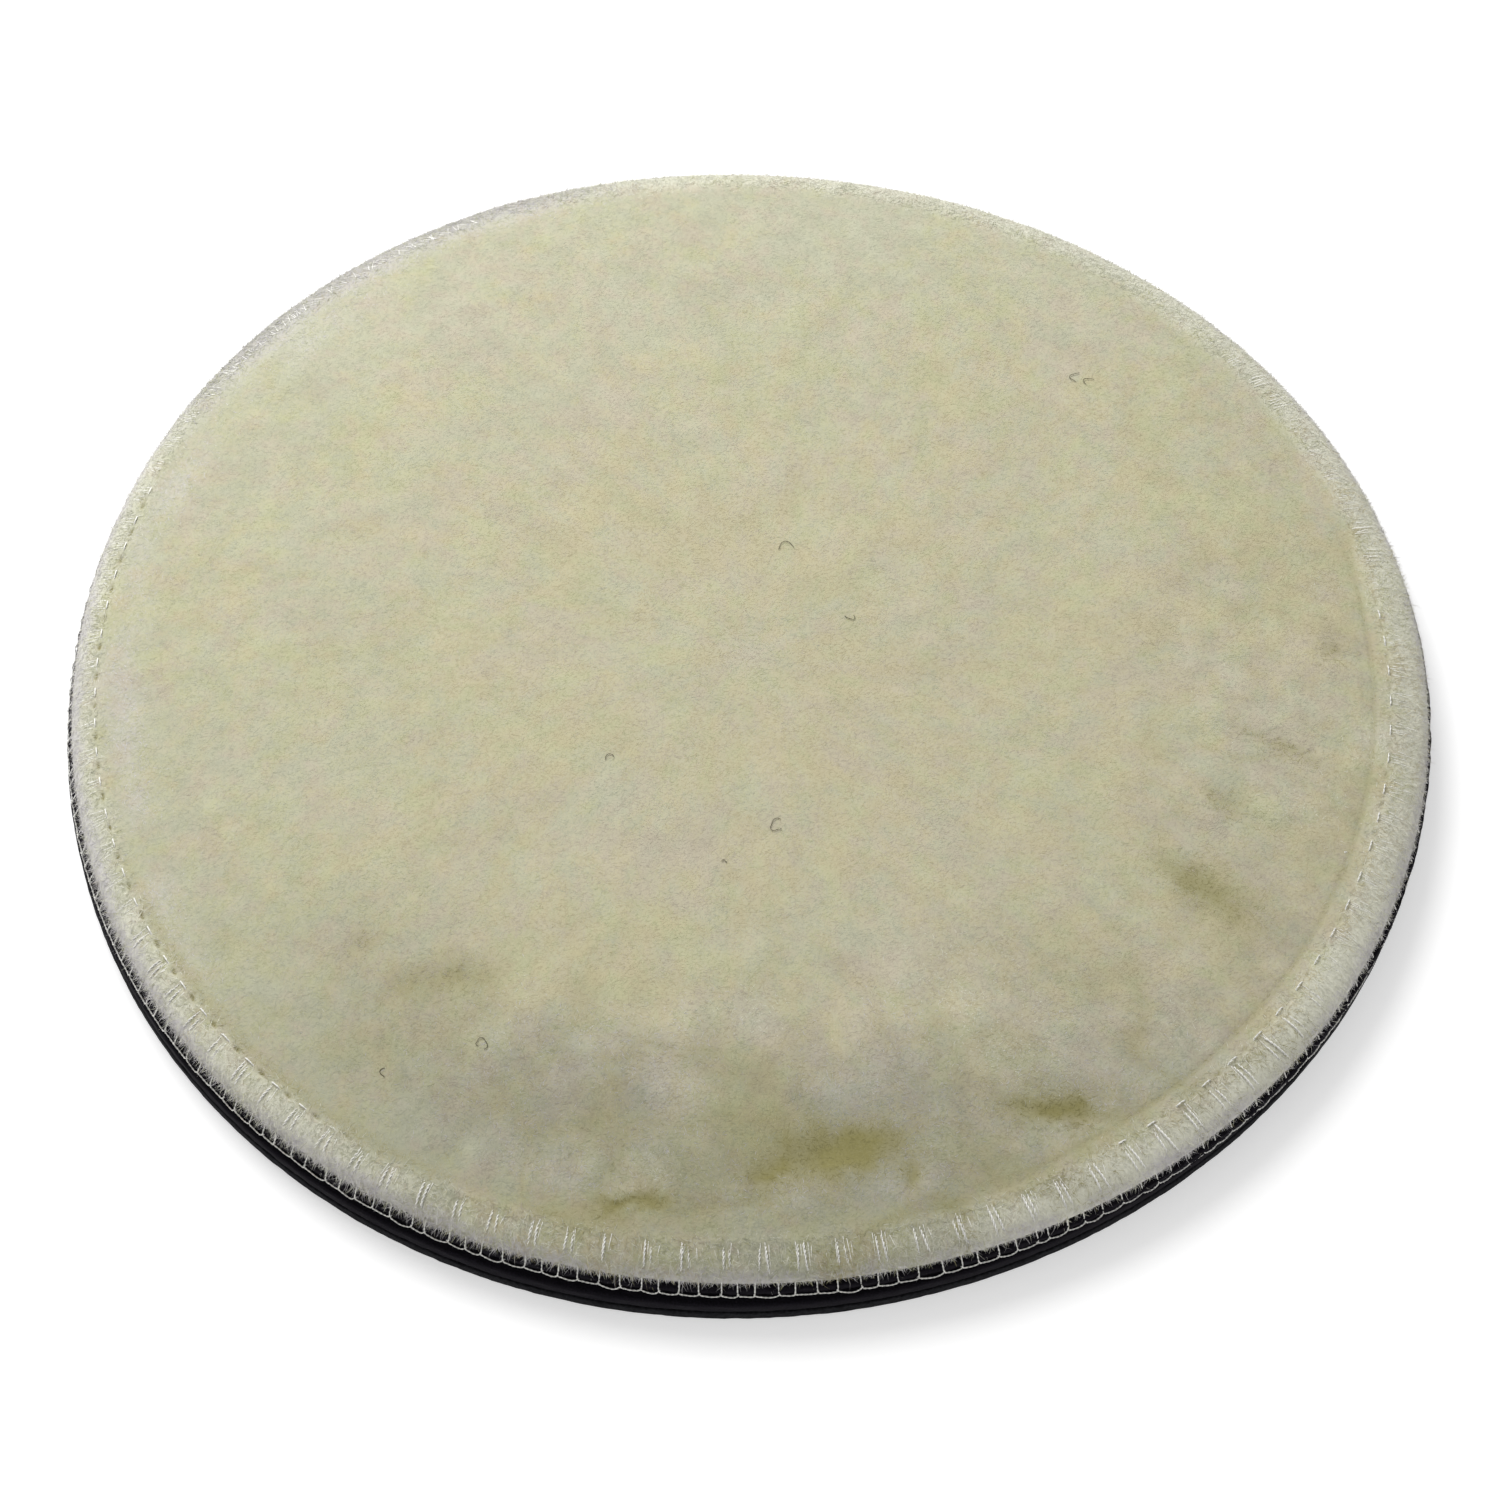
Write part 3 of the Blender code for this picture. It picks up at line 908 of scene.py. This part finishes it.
def make_threads(material):
    """The overlock's three threads."""
    draw = np.random.default_rng(81)
    slacks = draw.normal(0.0, 0.06, (STITCHES, 2))
    lifts = draw.normal(0.0, 0.05, (STITCHES, 2))
    sags = draw.uniform(0.3, 0.85, (STITCHES, 2))
    upper, lower, needle = [], [], []
    for number, (slack, lift, sag) in enumerate(zip(slacks, lifts, sags)):
        start, end = first_leg(1.0) + slack[0], second_leg(1.0) + slack[1]
        first = leg_points(number, first_leg, slack[0], lift[0])
        second = leg_points(number, second_leg, slack[1], lift[1])
        upper += [chain_point(number, start, 0.0)] + first[::-1] + second + [chain_point(number, end, 0.0)]
        for share, dip in ((0.3, 0.8), (0.65, 1.0)):
            onward = end + (1.0 - end + first_leg(1.0)) * share
            upper.append(chain_point(number, onward, sag[0] * dip))
        lower.append(chain_point(number, start, 0.05))
        for share, dip in ((0.3, 0.8), (0.7, 1.0)):
            lower.append(chain_point(number, start + (end - start) * share, sag[1] * dip))
        lower.append(chain_point(number, end, 0.05))
        for offset, inward in ((0.05, 1.6), (0.14, 3.4), (0.34, 3.4), (0.45, 1.6)):
            point = place(PAD_RADIUS - inward * MM, seam_angle(number + end + offset), UNDER_SEAM)
            lower.append(np.append(point, CHAIN_THICKNESS))
        for offset, rise in ((-0.28, -0.45), (-0.10, 0.10), (0.10, 0.10), (0.28, -0.45), (0.48, -0.60)):
            angle = seam_angle(number + offset)
            buried = 0.45 * needle_hidden(angle) + 0.10 * part_share(angle, LEFT)
            point = place(seam_radius(angle), angle, SEAM_HEIGHT + (rise - buried) * MM)
            needle.append(np.append(point, NEEDLE_THICKNESS))
    routes = {"upper_looper_thread": upper, "lower_looper_thread": lower, "needle_thread": needle}
    for name, route in routes.items():
        show(mesh_from_arrays(name + "_plied", *plied_thread(route), [material]), "thread", name)


# Flattened filaments over the bead: offset in stitches, and where on the roll each starts and ends.
FILAMENTS = [
    (-0.10, 0.03, 0.42),
    (-0.01, 0.06, 0.28),
    (0.09, 0.02, 0.36),
    (0.17, 0.05, 0.55),
    (0.28, 0.10, 0.30),
]
FILAMENT_LIFT = 0.07 * MM
OVERLAP_STRANDS = 70


def strands_on_roll(angle, slant, start, end, half_width):
    """Roots, middles, tips and sides of strands over the bead, which turn by slant on the way."""
    rows = []
    for along in (0.0, 0.5, 1.0):
        turned = angle + slant * along
        rows.append(above_roll(start + (end - start) * along, turned, FILAMENT_LIFT))
    return rows + [half_width * toward(angle + 0.5 * math.pi)]


def make_filaments(material):
    """Loose filaments of the threads, pressed flat on the wool.

    They lie over the bead beside the legs, thickly slanted at the back left, where the seam starts
    and finishes, and on the needle line.
    """
    draw = np.random.default_rng(83)
    bodies = []
    stitches = np.arange(STITCHES)
    for offset, start, end in FILAMENTS:
        angle = seam_angle(stitches + offset + draw.normal(0.0, 0.03, STITCHES))
        slant = draw.normal(0.0, 0.05 * PITCH, STITCHES)
        kept = part_share(angle, HIDDEN_LEGS) + 0.5 * part_share(angle, BRIGHT_LEGS) < draw.random(STITCHES)
        bodies.append([row[kept] for row in strands_on_roll(angle, slant, start, end, 0.035 * MM)])
    angle = np.radians(draw.uniform(*OVERLAP, OVERLAP_STRANDS))
    slant = np.radians(draw.uniform(-1.0, 2.5, OVERLAP_STRANDS))
    bodies.append(strands_on_roll(angle, slant, 0.05, 0.30, 0.04 * MM))
    rows = []
    for along in (-0.12, 0.0, 0.12):
        angle = seam_angle(stitches + along)
        rows.append(place(seam_radius(angle), angle, SEAM_HEIGHT + 0.16 * MM))
    sides = 0.055 * MM * (toward(angle) - [0.0, 0.0, 0.3])
    kept = needle_hidden(angle) < 0.5
    bodies.append([row[kept] for row in rows + [sides]])
    parts = [np.concatenate(group) for group in zip(*bodies)]
    tones = np.zeros(len(parts[0]), int)
    show(fibre_body("thread_filaments", *parts, tones, [material]), "thread")


# Stray coarse hairs on the face: x and y (mm), radius of the curl (mm), and the curl's start and
# sweep in degrees.
HAIRS = [
    (3.7, 13.9, 0.95, 20, 150),
    (11.2, 5.0, 0.45, 180, 200),
    (2.9, -22.4, 0.65, 70, 260),
    (-2.9, -26.9, 0.30, 0, 120),
    (-15.3, -14.0, 0.60, 40, 120),
    (-27.9, -48.6, 0.55, -60, 290),
    (-37.6, -51.8, 0.50, 100, 150),
    (37.2, 38.6, 0.60, 60, 210),
    (38.6, 37.9, 0.60, 40, 180),
]
LINT = (63.6, -24.2, 0.10, 0, 300)


def add_stray_hairs():
    """Dark coarse hairs curled on the face, and one speck of white lint."""
    dark = new_material("coarse_hair", (0.10, 0.085, 0.05), 0.5)[0]
    white = new_material("white_lint", (0.90, 0.90, 0.88), 0.7)[0]
    hairs, tones = [], []
    for x, y, curl, first, sweep in HAIRS + [LINT]:
        turn = np.radians(first + sweep * np.linspace(0.0, 1.0, 14))
        reach = curl * (np.linspace(1.5, 0.6, 14) + 0.2 * np.sin(3.0 * turn + x))
        across, along = (x + reach * np.cos(turn)) * MM, (y + reach * np.sin(turn)) * MM
        angle = np.arctan2(along, across)
        inward = seam_radius(angle) - np.hypot(across, along)
        height = pile_surface(inward, angle)[1] + 0.13 * MM
        centre = np.stack([across, along, height], axis=1)
        points, faces = tube(centre, *directions_along(centre, False), 0.035 * MM, False)
        hairs.append((points, faces))
        tones += [int(curl == LINT[2])] * len(faces)
    show(mesh_from_arrays("stray_hairs", *joined(hairs), [dark, white], tones), "wool")


# --- The black layers ---


LAYER_COUNT = 720


def make_layer(name, node, slot, profile, material, waves, roughen, seed):
    """A round layer turned from a (radius, height) profile, from the top centre to the bottom one."""
    rings = [np.array([[0.0, 0.0, profile[0][1]]])]
    for radius, height in profile[1:-1]:
        turn = angles(LAYER_COUNT)
        x, y = radius * np.cos(turn), radius * np.sin(turn)
        uneven = roughen * lumps(x + 3.1 * height, y + 7.7 * height, 0.8 * MM, seed)
        rings.append(place(radius + uneven, turn, height, waves))
    rings.append(np.array([[0.0, 0.0, profile[-1][1]]]))
    points, faces = closed_rings(rings)
    return show(mesh_from_arrays(name, points, faces, [material]), slot, node)


def edge_profile(radius, bottom, top, ease_by, steps=5):
    """A disc's profile with its rim rounded by ease_by."""
    profile = [(0.0, top), (0.5 * radius, top)]
    for middle, first in ((top - ease_by, 0.5 * math.pi), (bottom + ease_by, 0.0)):
        for step in range(steps + 1):
            turn = first - 0.5 * math.pi * step / steps
            across = radius - ease_by + ease_by * math.cos(turn)
            profile.append((across, middle + ease_by * math.sin(turn)))
    return profile + [(0.5 * radius, bottom), (0.0, bottom)]


def make_base():
    """Felt, cloths and foam, each in the space of its CAD solid. Returns the loop fabric's material."""
    dark, light = (0.004, 0.0035, 0.005), (0.012, 0.010, 0.015)
    felt = speckled_material("black_felt", dark, light, 5000, 0.9, 0.1 * MM, specular=0.08)
    foam = speckled_material("black_foam", dark, light, 6000, 0.85, 0.08 * MM, specular=0.10)
    dark, light = (0.006, 0.006, 0.007), (0.020, 0.020, 0.023)
    loops = speckled_material("black_loop_fabric", dark, light, 2500, 0.85, 0.1 * MM, specular=0.08)
    dark, light = (0.48, 0.44, 0.34), (0.66, 0.62, 0.50)
    cream = speckled_material("cream_knitted_cloth", dark, light, 2500, 0.9, 0.1 * MM)

    low, high = bottom_of("stiffening_felt"), top_of("stiffening_felt")
    profile = edge_profile(FELT_RADIUS + 0.55 * MM, low, high + 0.15 * MM, 0.25 * MM)
    body = make_layer("felt_layer", "stiffening_felt", "felt", profile, felt, EDGE_WANDER, 0.12 * MM, 91)

    cloth_radius = outer_radius("wool_backing_cloth")
    low, high = WOOL_BOTTOM - 0.65 * MM, WOOL_BOTTOM - 0.35 * MM
    profile = edge_profile(cloth_radius - 0.4 * MM, low, high, 0.1 * MM, 2)
    names = "wool_ground_cloth", "wool_backing_cloth", "wool_cloth"
    body = make_layer(*names, profile, cream, EDGE_WANDER, 0.05 * MM, 92)

    low, high = bottom_of("foam_cushion"), top_of("foam_cushion")
    # The foam's top is cut back under the seam.
    profile = [(0.0, high), (69.0 * MM, high), (70.0 * MM, high - 0.1 * MM), (70.6 * MM, high - 0.6 * MM)]
    profile += edge_profile(PAD_RADIUS, low, high - 0.55 * MM, 0.35 * MM)[2:]
    body = make_layer("foam_layer", "foam_cushion", "foam", profile, foam, BASE_WANDER, 0.06 * MM, 93)

    cloth_radius = outer_radius("loop_backing_cloth")
    low, high = bottom_of("loop_backing_cloth") - 0.05 * MM, top_of("loop_backing_cloth")
    rim = 0.03 * MM  # the cut edge, with its crushed loops, reaches down to here
    profile = edge_profile(PAD_RADIUS, rim, high, 0.15 * MM, 3)[:-2] + [(PAD_RADIUS - 1.2 * MM, rim)]
    profile += [(PAD_RADIUS - 1.8 * MM, low), (0.5 * PAD_RADIUS, low), (0.0, low)]
    names = "loop_cloth", "loop_backing_cloth", "loop_fabric"
    body = make_layer(*names, profile, loops, BASE_WANDER, 0.05 * MM, 94)
    return loops


NAP_PIECES = 2
NAP_LOOPS = 8000
NAP_YARN_RADIUS = 0.06 * MM
NAP_SECTIONS = 5
NAP_CORNERS = 3


def nap_arches(draw):
    """(sections, sides): points along each loop of the nap, and the direction across the loop."""
    reach = (outer_radius("loop_nap") - 0.6 * MM) * np.sqrt(draw.random(NAP_LOOPS))
    turn = draw.random(NAP_LOOPS) * math.tau
    middle = place(reach, turn, bottom_of("loop_backing_cloth") + 0.1 * MM, BASE_WANDER)
    heading = draw.random(NAP_LOOPS) * math.tau
    lean = draw.normal(0.0, 0.22 * MM, (NAP_LOOPS, 2))
    drop = draw.uniform(0.55, 0.85, NAP_LOOPS) * MM
    half = draw.uniform(0.25, 0.45, NAP_LOOPS) * MM
    share = np.linspace(0.0, 1.0, NAP_SECTIONS)[None, :, None]
    arch = np.sin(math.pi * share)
    sections = middle[:, None] + toward(heading)[:, None] * half[:, None, None] * (2 * share - 1)
    sections[..., 2:] -= drop[:, None, None] * arch
    sections[..., :2] += lean[:, None] * arch
    return sections, toward(heading + 0.5 * math.pi)


def make_loop_nap(material):
    """The nap below the loop cloth: small arches of yarn that hang from it and lean every way."""
    draw = np.random.default_rng(101)
    here = NAP_CORNERS * np.arange(NAP_SECTIONS - 1)[:, None] + np.arange(NAP_CORNERS)
    beside = np.roll(here, -1, axis=1)
    quads = np.stack([here, beside, beside + NAP_CORNERS, here + NAP_CORNERS], axis=-1).reshape(-1, 4)
    firsts = NAP_SECTIONS * NAP_CORNERS * np.arange(NAP_LOOPS)[:, None, None]
    for piece in range(NAP_PIECES):
        sections, side = nap_arches(draw)
        points = np.empty((NAP_LOOPS, NAP_SECTIONS, NAP_CORNERS, 3))
        for section in range(NAP_SECTIONS):
            last = min(section + 1, NAP_SECTIONS - 1)
            ahead = sections[:, last] - sections[:, max(section - 1, 0)]
            other = unit(np.cross(unit(ahead), side))
            for corner, angle in enumerate(angles(NAP_CORNERS)):
                outward = side * math.cos(angle) + other * math.sin(angle)
                points[:, section, corner] = sections[:, section] + NAP_YARN_RADIUS * outward
        points[..., 2] = np.maximum(points[..., 2], 0.02 * MM)
        faces = [(quads + firsts).reshape(-1, 4)]
        nap = mesh_from_arrays(f"loop_nap_{piece + 1}", points.reshape(-1, 3), faces, [material])
        show(nap, "loop_fabric", *(["loop_nap"] if piece == 0 else []))


def finish_glue():
    """The hidden glue film keeps its CAD solid and gets a cloudy, slightly wrinkled finish."""
    dark, light = (0.45, 0.42, 0.33), (0.62, 0.58, 0.47)
    material = speckled_material("hot_melt_film", dark, light, 900, 0.45, 0.05 * MM)
    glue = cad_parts["glue_film"]
    glue.data.materials.clear()
    glue.data.materials.append(material)


# --- Stage, lights and camera ---


def make_floor():
    """A plain pale floor, wide enough for every view."""
    bpy.ops.mesh.primitive_plane_add(size=6.0)
    floor = bpy.context.object
    floor.name = "floor"
    material, shader = new_material("white_floor", (0.80, 0.80, 0.80), 0.9)
    feed(shader, {"Emission Color": (1.0, 1.0, 1.0, 1.0), "Emission Strength": 0.45})
    floor.data.materials.append(material)


def aim(obj, target):
    """Put a light or a camera in the scene, looking at a target."""
    obj.rotation_euler = (Vector(target) - obj.location).to_track_quat("-Z", "Y").to_euler()
    bpy.context.scene.collection.objects.link(obj)


def make_lights():
    """An even white surround, and one wide soft light from the back left."""
    world = bpy.data.worlds.new("studio")
    bpy.context.scene.world = world
    world.use_nodes = True
    feed(world.node_tree.nodes["Background"], {"Color": (1.0, 1.0, 1.0, 1.0), "Strength": 0.45})
    light = bpy.data.lights.new("key", "AREA")
    light.shape = "DISK"
    light.size = 0.40
    light.energy = 2.9
    obj = bpy.data.objects.new("key", light)
    obj.location = (-0.18, 0.30, 0.40)
    aim(obj, (0.0, 0.0, 0.0))


def make_camera():
    """The viewing angle: from the front, about 56 degrees above the floor."""
    camera = bpy.data.cameras.new("camera")
    camera.lens = 106.7
    camera.sensor_width = 36.0
    camera.clip_start = 0.01
    obj = bpy.data.objects.new("camera", camera)
    obj.location = (0.0, -0.2765, 0.4109)
    aim(obj, (0.0, -0.0096, 0.0063))
    bpy.context.scene.camera = obj


make_camera()
make_floor()
make_lights()
bpy.context.scene.view_settings.view_transform = "Standard"

wool = make_wool()
add_wool_fibres(wool, fibre_palette())
add_stray_hairs()
thread = new_material("bright_polyester", (0.95, 0.94, 0.89), 0.35, sheen=0.1)[0]
make_threads(thread)
make_filaments(thread)
make_loop_nap(make_base())
finish_glue()
